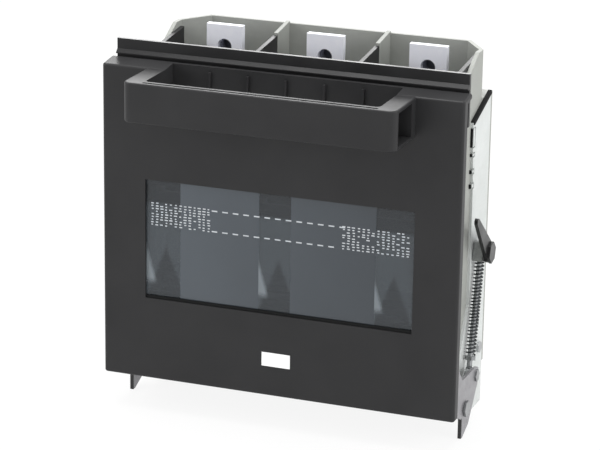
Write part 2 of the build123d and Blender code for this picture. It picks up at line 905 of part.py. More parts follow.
def make_side_plate(side):
    """Galvanised steel side plate that carries the hinge pin and the spring drive."""
    plane, thickness = slab(side, housing_side, plate_outer)
    slanted_front = plate_front_depth + plate_front_slant
    with BuildPart() as plate:
        with BuildSketch(plane):
            side_face(
                [
                    (plate_front_depth, plate_top_front),
                    (plate_rear_depth, plate_top_rear),
                    (plate_rear_depth, housing_bottom),
                    (bay_corner_depth - plate_toe_inset, housing_bottom),
                    (plate_front_depth, hinge_z - plate_toe_drop),
                    (hinge_depth + plate_ear, hinge_z - plate_heel_drop),
                    (hinge_depth - plate_ear / 2, hinge_z - plate_ear_drop),
                    (hinge_depth - plate_ear, hinge_z),
                    (hinge_depth - plate_ear, hinge_z + plate_ear_rise),
                    (plate_arm_depth, hinge_z + plate_arm_rise),
                    (slanted_front, plate_brace_z),
                    (slanted_front, plate_slant_z),
                ]
            )
            # Notches over the hook slots, and a slanted slot over the lower part of the drive
            notch_depth = plate_front_slant + 2 * plate_notch
            for low, high in hook_slots:
                with Locations((face_y + plate_front_depth + plate_front_slant / 2, (low + high) / 2)):
                    Rectangle(notch_depth, high - low, mode=Mode.SUBTRACT)
            with Locations((face_y + drive_slot_depth, drive_slot_z)):
                SlotOverall(
                    drive_slot_length,
                    drive_slot_width,
                    rotation=90 + drive_slot_lean,
                    mode=Mode.SUBTRACT,
                )
        extrude(amount=thickness)
        for y, z, radius in (
            (hinge_y, hinge_z, hinge_pin_radius),
            (trunnion_y, trunnion_z, trunnion_journal_radius),
        ):
            cross_pin(
                side,
                housing_side,
                plate_outer,
                y,
                z,
                radius + running_clearance,
                mode=Mode.SUBTRACT,
            )
    return plate


def make_hinge_pin(side):
    """Shoulder bolt through the side plate: a hexagon shoulder behind the hinge arm and a head outside it."""
    head_inner = hinge_arm_outer + hinge_play
    with BuildPart() as pin:
        cross_pin(side, housing_inner, head_inner, hinge_y, hinge_z, hinge_pin_radius)
        for inner, outer in (
            (plate_outer, hinge_arm_inner - hinge_play),
            (head_inner, head_inner + hinge_head_height),
        ):
            cross_hexagon(side, inner, outer, hinge_y, hinge_z, hinge_head_radius)
    return pin


def make_crank_pin(side):
    """Headed steel pin in the hinge arm that drives the spring rod."""
    pin_end = rod_x - rod_eye_thickness / 2 - 2 * hinge_play
    head_outer = hinge_arm_outer + crank_head_height
    with BuildPart() as pin:
        cross_pin(side, pin_end, hinge_arm_outer, crank_y, crank_z, crank_pin_radius)
        cross_hexagon(side, hinge_arm_outer, head_outer, crank_y, crank_z, crank_head_radius)
    return pin


def rod_plane(side, along):
    """Plane square to the spring rod, at a distance along it from the crank pin."""
    lean = radians(rod_lean)
    origin = (side * rod_x, crank_y + along * sin(lean), crank_z + along * cos(lean))
    return Plane(origin=origin, x_dir=(1, 0, 0), z_dir=(0, sin(lean), cos(lean)))


def make_guide_rod(side):
    """Steel guide rod with a flat eye on the crank pin and a hexagon nut that the spring pushes against."""
    with BuildPart() as rod:
        with BuildSketch(rod_plane(side, rod_eye_radius - bite)):
            Circle(rod_radius)
        extrude(amount=rod_length + rod_overrun - rod_eye_radius + bite)
        with BuildSketch(rod_plane(side, collar_offset)):
            RegularPolygon(collar_radius, 6)
        extrude(amount=collar_length)
        cross_pin(
            side,
            rod_x - rod_eye_thickness / 2,
            rod_x + rod_eye_thickness / 2,
            crank_y,
            crank_z,
            rod_eye_radius,
        )
        cross_pin(
            side,
            rod_x - rod_eye_thickness / 2,
            rod_x + rod_eye_thickness / 2,
            crank_y,
            crank_z,
            crank_pin_radius + running_clearance,
            mode=Mode.SUBTRACT,
        )
    return rod


def make_drive_spring(side):
    """Compression spring on the guide rod, between the collar and the trunnion, as a plain sleeve."""
    start = collar_offset + collar_length + seat_gap
    length = rod_length - trunnion_size / 2 - seat_gap - start
    with BuildPart() as spring:
        with BuildSketch(rod_plane(side, start)):
            Circle(spring_radius + spring_wire / 2)
            Circle(spring_radius - spring_wire / 2, mode=Mode.SUBTRACT)
        extrude(amount=length)
    return spring


def drive_pegs(side, outer, width, mode=Mode.ADD):
    """Two square pegs beside the journal that turn the knob with the trunnion, or the holes for them."""
    lean = radians(rod_lean)
    plane, length = slab(side, rod_x + trunnion_thickness / 2, outer)
    with BuildSketch(plane) as pegs:
        for hand in (-1, 1):
            reach = hand * (trunnion_size / 2 - peg_inset)
            with Locations((trunnion_y + reach * cos(lean), trunnion_z - reach * sin(lean))):
                Rectangle(width, width, rotation=-rod_lean)
    extrude(pegs.sketch, amount=length, mode=mode)


def make_trunnion(side):
    """Swivel block that the guide rod slides through, on a journal in the side plate."""
    half = trunnion_size / 2
    inner = rod_x - trunnion_thickness / 2
    with BuildPart() as trunnion:
        with BuildSketch(rod_plane(side, rod_length - half)):
            Rectangle(trunnion_thickness, trunnion_size)
            Rectangle(
                2 * (rod_radius + rod_play),
                2 * (rod_radius + rod_side_play),
                mode=Mode.SUBTRACT,
            )
        extrude(amount=trunnion_size)
        cross_pin(side, housing_inner, inner, trunnion_y, trunnion_z, trunnion_journal_radius)
        drive_pegs(side, knob_inner + cam_thickness / 2, peg_width)
    return trunnion


def make_switch_cam(side):
    """Black moulded knob with a cam arm, pegged to the outside of the trunnion."""
    lean = radians(cam_lean)
    tip = (trunnion_y - cam_reach * sin(lean), trunnion_z + cam_reach * cos(lean))
    plane, thickness = slab(side, knob_inner, knob_base)
    with BuildPart() as cam:
        with BuildSketch(plane):
            with Locations((trunnion_y, trunnion_z)):
                Circle(cam_hub_radius)
            with Locations(tip):
                Circle(cam_tip_radius)
            make_hull()
        extrude(amount=thickness)
        knob_outer = knob_base + knob_height
        cross_hexagon(side, knob_base, knob_outer, trunnion_y, trunnion_z, knob_radius, rod_lean)
        hole_width = peg_width + 2 * running_clearance
        drive_pegs(side, knob_inner + cam_thickness / 2, hole_width, mode=Mode.SUBTRACT)
    return cam


def make_arc_chamber(x):
    """Moulded holder over one line contact that carries the arc-quenching plates."""
    roof_top = platform_half - seat_gap
    half = arc_width / 2
    with BuildPart() as chamber:
        with BuildSketch(Plane.XZ.offset(-face_y - arc_rear_depth)):
            with BuildLine():
                Polyline(
                    (x - half, arc_start),
                    (x - half, roof_top),
                    (x + half, roof_top),
                    (x + half, arc_start),
                    (x + half - arc_wall, arc_start),
                    (x + half - arc_wall, roof_top - arc_wall),
                    (x - half + arc_wall, roof_top - arc_wall),
                    (x - half + arc_wall, arc_start),
                    close=True,
                )
            make_face()
        extrude(amount=arc_rear_depth - arc_front_depth)
    return chamber


def make_arc_plates(x):
    """Stack of thin steel arc-quenching plates between the chamber's walls."""
    half = arc_width / 2 - arc_wall
    notch = blade_thickness
    front = arc_front_depth + arc_plate_inset
    rear = arc_rear_depth - arc_plate_inset
    with BuildPart() as plates:
        for number in range(arc_plate_count):
            with BuildSketch(Plane.XY.offset(arc_start + bite + number * arc_plate_pitch)):
                plan_face(
                    [
                        (x - half, rear),
                        (x - half, front),
                        (x - notch / 2, front),
                        (x, front + arc_notch_depth),
                        (x + notch / 2, front),
                        (x + half, front),
                        (x + half, rear),
                    ]
                )
            extrude(amount=arc_plate_thickness)
    return plates


def make_upper_shroud():
    """Black moulded shroud: a stepped front wall over the cover, a floor and ribs that part the bays."""
    shroud_back = shroud_depth + shroud_wall
    ledge_low = shroud_ledge_z - shroud_ledge_lip
    rib_rear = bay_barrier_front - bite
    with BuildPart() as shroud:
        with BuildSketch(Plane.YZ.offset(-shroud_side)):
            side_face(
                [
                    (shroud_depth, platform_half),
                    (shroud_depth, ledge_low),
                    (shroud_depth - shroud_ledge, ledge_low),
                    (shroud_depth - shroud_ledge, shroud_ledge_z),
                    (shroud_depth, shroud_ledge_z + shroud_ledge),
                    (shroud_depth, shroud_top),
                    (shroud_back, shroud_top),
                    (shroud_back, platform_half),
                ]
            )
        extrude(amount=2 * shroud_side)
        limits_box(
            (-shroud_floor_half, shroud_floor_half),
            (shroud_back - bite, bar_front_depth - arm_gap),
            (platform_half, platform_half + shroud_wall),
        )
        for rib_x in shroud_ribs:
            with BuildSketch(Plane.YZ.offset(rib_x - barrier_thickness / 2)):
                side_face(
                    [
                        (shroud_back - bite, platform_half + bite),
                        (shroud_back - bite, shroud_top - shroud_rib_front_drop),
                        (rib_rear, shroud_top - shroud_rib_rear_drop),
                        (rib_rear, platform_half + bite),
                    ]
                )
            extrude(amount=barrier_thickness)
    return shroud


def make_lower_shroud():
    """Black moulded shroud between the poles of the load-side bay."""
    low = -platform_half - lower_shroud_drop
    with BuildPart() as shroud:
        limits_box(
            (-shroud_floor_half, shroud_floor_half),
            (lower_shroud_depth, bar_front_depth - arm_gap),
            (-platform_half - shroud_wall, -platform_half),
        )
        limits_box(
            (-shroud_floor_half, shroud_floor_half),
            (lower_shroud_depth, lower_shroud_depth + shroud_wall),
            (low, -platform_half - bite),
        )
        for rib_x in shroud_ribs:
            limits_box(
                (rib_x - barrier_thickness / 2, rib_x + barrier_thickness / 2),
                (lower_shroud_depth + bite, bay_barrier_front - bite),
                (low, -platform_half - bite),
            )
    return shroud


def build_all():
    """Makes every piece and writes it to its own file."""
    save(make_base_housing(), "base_housing")
    save(make_upper_shroud(), "upper_shroud")
    save(make_lower_shroud(), "lower_shroud")
    save(make_front_cover(), "front_cover")
    save(make_window_pane(), "window_pane")
    save(make_label_plate(), "label_plate")
    save(make_fuse_carrier(), "fuse_carrier")
    for number, x in enumerate(pole_x, 1):
        save(make_terminal(x, 1), f"line_terminal_{number}")
        save(make_terminal(x, -1), f"load_terminal_{number}")
        save(make_jaw(x, 1), f"line_jaw_{number}")
        save(make_jaw(x, -1), f"load_jaw_{number}")
        save(make_arc_chamber(x), f"arc_chamber_{number}")
        save(make_arc_plates(x), f"arc_plates_{number}")
        save(make_fuse_body(x), f"fuse_body_{number}")
        save(make_fuse_contact(x, 1), f"fuse_line_contact_{number}")
        save(make_fuse_contact(x, -1), f"fuse_load_contact_{number}")
        save(make_fuse_clips(x), f"fuse_clips_{number}")
    save(make_jaw_springs(1), "line_jaw_springs")
    save(make_jaw_springs(-1), "load_jaw_springs")
    contact_sites = [
        (x + hand * contact_screw_x, face_y + jaw_base_front_depth, end * (jaw_start + jaw_height / 2))
        for x in pole_x
        for hand in (-1, 1)
        for end in (-1, 1)
    ]
    save(make_screws(contact_sites, (0, -1, 0), contact_head_radius), "contact_screws")
    carrier_sites = [
        (x * carrier_screw_x, face_y + carrier_back_depth, z * carrier_screw_z)
        for x in (-1, 1)
        for z in (-1, 1)
    ]
    save(make_screws(carrier_sites, (0, 1, 0), small_head_radius), "carrier_screws")
    arm_sites = [
        (side * arm_screw_x, face_y + arm_flange_back, hinge_z + rise)
        for side in (-1, 1)
        for rise in arm_screw_rises
    ]
    save(make_screws(arm_sites, (0, 1, 0), small_head_radius), "arm_screws")
    for side, name in ((-1, "left"), (1, "right")):
        save(make_side_plate(side), f"side_plate_{name}")
        save(make_hinge_arm(side), f"hinge_arm_{name}")
        save(make_hinge_pin(side), f"hinge_pin_{name}")
        save(make_crank_pin(side), f"crank_pin_{name}")
        save(make_guide_rod(side), f"guide_rod_{name}")
        save(make_drive_spring(side), f"drive_spring_{name}")
        save(make_trunnion(side), f"trunnion_{name}")
        save(make_switch_cam(side), f"switch_cam_{name}")
        plate_sites = [(side * plate_outer, face_y + depth, z) for depth, z in side_screw_sites]
        save(make_screws(plate_sites, (side, 0, 0), side_head_radius), f"side_screws_{name}")


os.makedirs("parts", exist_ok=True)
build_all()
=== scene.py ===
"""Looks of the three-pole fuse switch disconnector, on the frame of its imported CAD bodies.

Everything is in metres in the part's own frame: +X across the poles, +Y into the panel, +Z up.
Named sizes are in millimetres unless a comment says metres, and mm turns them to metres.
"""

import json
import math
import random

import bmesh
import bpy
from mathutils import Matrix, Vector


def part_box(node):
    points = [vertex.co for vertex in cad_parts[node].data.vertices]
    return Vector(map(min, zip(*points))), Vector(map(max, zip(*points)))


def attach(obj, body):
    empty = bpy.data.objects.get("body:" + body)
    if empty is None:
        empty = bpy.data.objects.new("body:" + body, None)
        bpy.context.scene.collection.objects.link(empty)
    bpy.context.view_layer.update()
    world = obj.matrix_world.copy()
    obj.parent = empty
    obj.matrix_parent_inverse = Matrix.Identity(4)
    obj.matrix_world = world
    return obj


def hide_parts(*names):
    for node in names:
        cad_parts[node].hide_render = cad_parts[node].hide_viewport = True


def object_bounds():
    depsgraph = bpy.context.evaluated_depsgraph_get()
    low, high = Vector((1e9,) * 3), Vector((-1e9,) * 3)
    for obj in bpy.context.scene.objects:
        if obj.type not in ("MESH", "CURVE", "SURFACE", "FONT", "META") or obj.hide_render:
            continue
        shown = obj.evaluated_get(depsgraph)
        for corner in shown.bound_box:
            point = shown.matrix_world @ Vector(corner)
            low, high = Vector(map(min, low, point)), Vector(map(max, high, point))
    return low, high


mm = 0.001

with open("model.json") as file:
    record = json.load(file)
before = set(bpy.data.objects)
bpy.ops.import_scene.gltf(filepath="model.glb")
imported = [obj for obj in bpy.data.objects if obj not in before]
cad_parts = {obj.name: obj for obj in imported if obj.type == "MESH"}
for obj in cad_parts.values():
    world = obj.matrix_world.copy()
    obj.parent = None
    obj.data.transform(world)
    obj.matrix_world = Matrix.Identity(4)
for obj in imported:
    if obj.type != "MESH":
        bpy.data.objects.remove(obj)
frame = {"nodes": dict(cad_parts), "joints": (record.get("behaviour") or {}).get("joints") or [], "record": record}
cad_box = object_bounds()
cad = frame["nodes"]

# Places that the frame gives, in metres: the pins on the right side, and the tabs' holes
joint_places = {joint["name"]: Vector(joint["pos_m"]) for joint in frame["joints"]}
mount_places = {mount["name"]: Vector(mount["pos_m"]) for mount in frame["record"]["mounts"]}
crank_pin = joint_places["rod_pivot_right"]
trunnion_pin = joint_places["trunnion_pivot_right"]
hinge_pin = joint_places["cover_hinge"]


def corners(node):
    """Lowest and highest corner of a CAD node."""
    return [Vector(corner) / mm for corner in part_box(node)]


pane_low, pane_high = corners("window_pane")
plate_low, plate_high = corners("side_plate_right")
tab_back = corners("line_terminal_1")[1].y

# Hands of what comes in pairs, as the sign of X and the word in the name, and the poles' numbers
sides = ((-1, "left"), (1, "right"))
poles = (1, 2, 3)

# Window: the pane laps behind the cover all round
pane_lap = 2.0
pane_front = pane_low.y
window_half_width = pane_high.x - pane_lap
window_half_height = pane_high.z - pane_lap

# Foil panels behind the pane, each with its middle and half width, and the clear strips beside them
foil_panels = ((-44.5, 30.0), (41.0, 31.5))
strip_middle = -2.5
strip_spacing = 86.0

# Painted on a clear strip in place of the dim view through it: a painted shadow at its top, painted shade below a
# fuse body's ridged front and a painted highlight wedge on its flank
shadow_foot = 26.0
shadow_fade = 2.0
shade_ridge_offset = 3.0
shade_ridge_top = -1.0
shade_ridge_fade = 6.0
shade_ridge_slope = 2.6
highlight_edge = -45.0
highlight_fade = 10.0
highlight_slope = 3.5
highlight_foot = -34.0
highlight_foot_fade = 5.0

# Black lip on the toe of a hinge arm, from the hinge pin
lip_drop = 5.0
lip_reach = 6.6

# Drive coil, between its distances from the crank pin and the trunnion pin
coil_radius = 3.2
coil_wire = 1.2
coil_start = 13.7
coil_end = 7.2
coil_pitch = 2.5
coil_turn_steps = 18
coil_wire_sides = 6
coil_end_easing = 0.012

# Cap nut behind a terminal tab, and the share of its length that is bored
nut_across = 17.0
nut_length = 8.0
nut_sides = 24
bore_radius = 4.3
bore_share = 0.8
thread_grooves = 6
groove_depth = 0.55

# Slots of a side plate, lower and upper end of each, and what fills them, from the plate's inner face
plate_width = 42.0
plate_front = plate_high.y - plate_width
hook_slots = ((72.5, 88), (65.5, 69.5), (53, 57.5), (42, 47))
slot_play = 1.0
slot_seat = 0.2
slot_bevel = 0.3
# The black buffer in each slot stands in as painted shade for the gap in front of the hook
shade_buffer_width = 1.5
shade_buffer_reach = (-3.0, 1.6)
hook_width = 3.4
hook_reach = (-2.5, 1.9)

# Black rubber guard on the slanted edge of a side plate, standing in as painted shade for the shadowed gap along
# that edge
slant_front_z = 91.5
guard_front_inset = 0.5
guard_front_rise = 0.2
guard_rear_inset = 1.0
guard_rear_drop = 0.7
guard_depth = 1.8
guard_wall = 0.8
guard_top = 0.9
guard_seat = 0.05
guard_film = 0.02

# Black rubber sill under the pane, standing in as painted shade for the shadow under the window's lip
sill_play = 0.05
sill_seat = 0.02
sill_height = 2.2
sill_proud = 1.2
sill_bevel = 0.2

# Print on the pane, and its dashed lines, each with its height and number of dashes
ink_proud = 0.04
ink_seat = 0.005
dash_lines = ((26.4, 13), (11.2, 12))
dash_start = -48.3
dash_step = 8.0
dash_size = (4.2, 0.9)

# Blocks of strokes, each with its two ends and number of columns, and how the strokes vary
stroke_blocks = ((-98, -51, 13), (47, 98, 14))
stroke_seed = 7
stroke_share = 0.84
stroke_rows = 9
stroke_foot = 11
stroke_row_step = 2.0
stroke_sway = 0.3
stroke_bob = 0.2
stroke_widths = (1.2, 2.5)
stroke_height = 0.8

# Light level of the room on the object, the white that the camera sees, and the floor's lift towards it
room_level = 0.7
white_level = 1.0
floor_lift = 0.9

# Floor, in metres: how far it reaches, and how far under the part it lies
floor_reach = 12.0
floor_drop = 0.0005

# Camera, fitted to corners of the object in the photograph: metres, with lens and sensor in millimetres
camera_lens = 158.909
camera_sensor = 36
camera_place = (0.6297, -1.7813, 0.5801)
camera_right = (0.93617, 0.35123, 0.01475)
camera_up = (-0.11852, 0.27586, 0.95386)
camera_back = (0.33095, -0.89473, 0.29988)
camera_range = 20

# Colour sockets of a Mix node, which share their names with its other sockets
first_colour = 6
second_colour = 7
mixed_colour = 2

# Values between which a noise texture mostly stays
noise_low = 0.3
noise_high = 0.7


# Materials


def linear(code):
    """Linear RGBA of an sRGB hex colour."""
    parts = [int(code[i : i + 2], 16) / 255 for i in (1, 3, 5)]
    return tuple(c / 12.92 if c <= 0.04045 else ((c + 0.055) / 1.055) ** 2.4 for c in parts) + (1.0,)


def put(tree, kind, settings=None, links=None):
    """Adds a node, sets its properties and sockets by name or number, and links outputs into its inputs."""
    made = tree.nodes.new(kind)
    for name, value in (settings or {}).items():
        if isinstance(name, int) or name in made.inputs:
            made.inputs[name].default_value = value
        else:
            setattr(made, name, value)
    for name, output in (links or {}).items():
        tree.links.new(output, made.inputs[name])
    return made


def start(name):
    """New material with its tree, a Principled shader on the output and the object's own coordinates."""
    material = bpy.data.materials.new(name)
    material.use_nodes = True
    tree = material.node_tree
    tree.nodes.clear()
    place = put(tree, "ShaderNodeTexCoord").outputs["Object"]
    shader = put(tree, "ShaderNodeBsdfPrincipled")
    put(tree, "ShaderNodeOutputMaterial", links={"Surface": shader.outputs["BSDF"]})
    return material, tree, place, shader


def per_metre(size_mm):
    """Texture scale at which one feature is this many millimetres across."""
    return 1 / (size_mm * mm)


def moulding(name, shades, roughness, grain_mm, grain_height_mm, mottle_mm, specular=0.5):
    """Moulded plastic: two close shades that drift across the piece, an eroded grain and uneven gloss.

    Real eroded grain is about 0.2 mm wide, too fine to show, so it is drawn as coarse as need be.
    """
    material, tree, place, shader = start(name)
    dark, light = shades
    drift = put(
        tree,
        "ShaderNodeTexNoise",
        {"Scale": per_metre(mottle_mm), "Detail": 3.0, "Roughness": 0.55},
        {"Vector": place},
    )
    shade = put(
        tree,
        "ShaderNodeMix",
        {"data_type": "RGBA", first_colour: linear(dark), second_colour: linear(light)},
        {"Factor": drift.outputs["Fac"]},
    )
    smoothest, roughest = roughness - 0.05, roughness + 0.06
    gloss = put(
        tree,
        "ShaderNodeMapRange",
        {"From Min": noise_low, "From Max": noise_high, "To Min": smoothest, "To Max": roughest},
        {"Value": drift.outputs["Fac"]},
    )
    grain = put(
        tree,
        "ShaderNodeTexNoise",
        {"Scale": per_metre(grain_mm), "Detail": 2.0, "Roughness": 0.6},
        {"Vector": place},
    )
    relief = put(
        tree,
        "ShaderNodeBump",
        {"Strength": 0.35, "Distance": grain_height_mm * mm},
        {"Height": grain.outputs["Fac"]},
    )
    shader.inputs["IOR"].default_value = 1.53
    shader.inputs["Specular IOR Level"].default_value = specular
    tree.links.new(shade.outputs[mixed_colour], shader.inputs["Base Color"])
    tree.links.new(gloss.outputs["Result"], shader.inputs["Roughness"])
    tree.links.new(relief.outputs["Normal"], shader.inputs["Normal"])
    return material


def plated(name, shades, roughness, patch_mm, scratch_mm, stretch, metallic=1.0):
    """Plated or bare metal: cloudy patches in the plating and fine scratches drawn along one direction.

    Real scratches are about 0.05 mm wide, too fine to show, so they are drawn as coarse as need be.
    stretch scales the scratches on each axis: a small value draws them out along it.
    """
    material, tree, place, shader = start(name)
    dark, light = shades
    patches = put(
        tree,
        "ShaderNodeTexVoronoi",
        {"Scale": per_metre(patch_mm), "Randomness": 1.0},
        {"Vector": place},
    )
    cloud_mm = 2.5 * patch_mm
    cloud = put(
        tree,
        "ShaderNodeTexNoise",
        {"Scale": per_metre(cloud_mm), "Detail": 4.0},
        {"Vector": place},
    )
    patch_share = 0.35
    tone = put(
        tree,
        "ShaderNodeMath",
        {"operation": "MULTIPLY_ADD", 1: patch_share},
        {0: patches.outputs["Color"], 2: cloud.outputs["Fac"]},
    )
    shade = put(
        tree,
        "ShaderNodeMix",
        {
            "data_type": "RGBA",
            "clamp_factor": True,
            first_colour: linear(dark),
            second_colour: linear(light),
        },
        {"Factor": tone.outputs["Value"]},
    )
    drawn = put(tree, "ShaderNodeMapping", {"Scale": stretch}, {"Vector": place})
    scratches = put(
        tree,
        "ShaderNodeTexNoise",
        {"Scale": per_metre(scratch_mm), "Detail": 3.0, "Roughness": 0.7},
        {"Vector": drawn.outputs["Vector"]},
    )
    smoothest, roughest = roughness - 0.08, roughness + 0.1
    gloss = put(
        tree,
        "ShaderNodeMapRange",
        {"From Min": noise_low, "From Max": noise_high, "To Min": smoothest, "To Max": roughest},
        {"Value": scratches.outputs["Fac"]},
    )
    relief = put(
        tree,
        "ShaderNodeBump",
        {"Strength": 0.2, "Distance": 0.02 * mm},
        {"Height": scratches.outputs["Fac"]},
    )
    shader.inputs["Metallic"].default_value = metallic
    tree.links.new(shade.outputs[mixed_colour], shader.inputs["Base Color"])
    tree.links.new(gloss.outputs["Result"], shader.inputs["Roughness"])
    tree.links.new(relief.outputs["Normal"], shader.inputs["Normal"])
    return material


def lipped_zinc():
    """Zinc-plated arm, greyer than sheet, whose toe has a black lip on its front edge."""
    metallic = 0.6
    material = plated(
        "zinc_plated_arms",
        shades=("#7E7D80", "#98979A"),
        roughness=0.42,
        patch_mm=4,
        scratch_mm=0.5,
        stretch=(1, 1, 0.2),
        metallic=metallic,
    )
    tree = material.node_tree
    shader = next(node for node in tree.nodes if node.type == "BSDF_PRINCIPLED")
    plating = shader.inputs["Base Color"].links[0].from_socket
    place = next(node for node in tree.nodes if node.type == "TEX_COORD").outputs["Object"]
    axes = put(tree, "ShaderNodeSeparateXYZ", links={"Vector": place})
    lip_z = hinge_pin.z - lip_drop * mm
    lip_y = hinge_pin.y - lip_reach * mm
    low = put(tree, "ShaderNodeMath", {"operation": "LESS_THAN", 1: lip_z}, {0: axes.outputs["Z"]})
    front = put(tree, "ShaderNodeMath", {"operation": "LESS_THAN", 1: lip_y}, {0: axes.outputs["Y"]})
    lip = put(
        tree,
        "ShaderNodeMath",
        {"operation": "MULTIPLY"},
        {0: low.outputs["Value"], 1: front.outputs["Value"]},
    ).outputs["Value"]
    shade = put(
        tree,
        "ShaderNodeMix",
        {"data_type": "RGBA", second_colour: linear("#161617")},
        {"Factor": lip, first_colour: plating},
    )
    metal = put(tree, "ShaderNodeMapRange", {"To Min": metallic, "To Max": 0.0}, {"Value": lip})
    tree.links.new(shade.outputs[mixed_colour], shader.inputs["Base Color"])
    tree.links.new(metal.outputs["Result"], shader.inputs["Metallic"])
    return material


def steatite():
    """Unglazed steatite ceramic of the fuse bodies: chalky cream with fine dark specks."""
    material, tree, place, shader = start("unglazed_steatite_ceramic")
    specks = put(
        tree,
        "ShaderNodeTexNoise",
        {"Scale": per_metre(0.9), "Detail": 4.0, "Roughness": 0.7},
        {"Vector": place},
    )
    # Only the peaks of the noise are dark, and only half way
    chosen = put(
        tree,
        "ShaderNodeMapRange",
        {"From Min": 0.62, "From Max": 0.74, "To Max": 0.5},
        {"Value": specks.outputs["Fac"]},
    )
    shade = put(
        tree,
        "ShaderNodeMix",
        {"data_type": "RGBA", first_colour: linear("#C3BBA8"), second_colour: linear("#857A66")},
        {"Factor": chosen.outputs["Result"]},
    )
    relief = put(
        tree,
        "ShaderNodeBump",
        {"Strength": 0.3, "Distance": 0.05 * mm},
        {"Height": specks.outputs["Fac"]},
    )
    shader.inputs["IOR"].default_value = 1.58
    shader.inputs["Roughness"].default_value = 0.72
    tree.links.new(shade.outputs[mixed_colour], shader.inputs["Base Color"])
    tree.links.new(relief.outputs["Normal"], shader.inputs["Normal"])
    return material


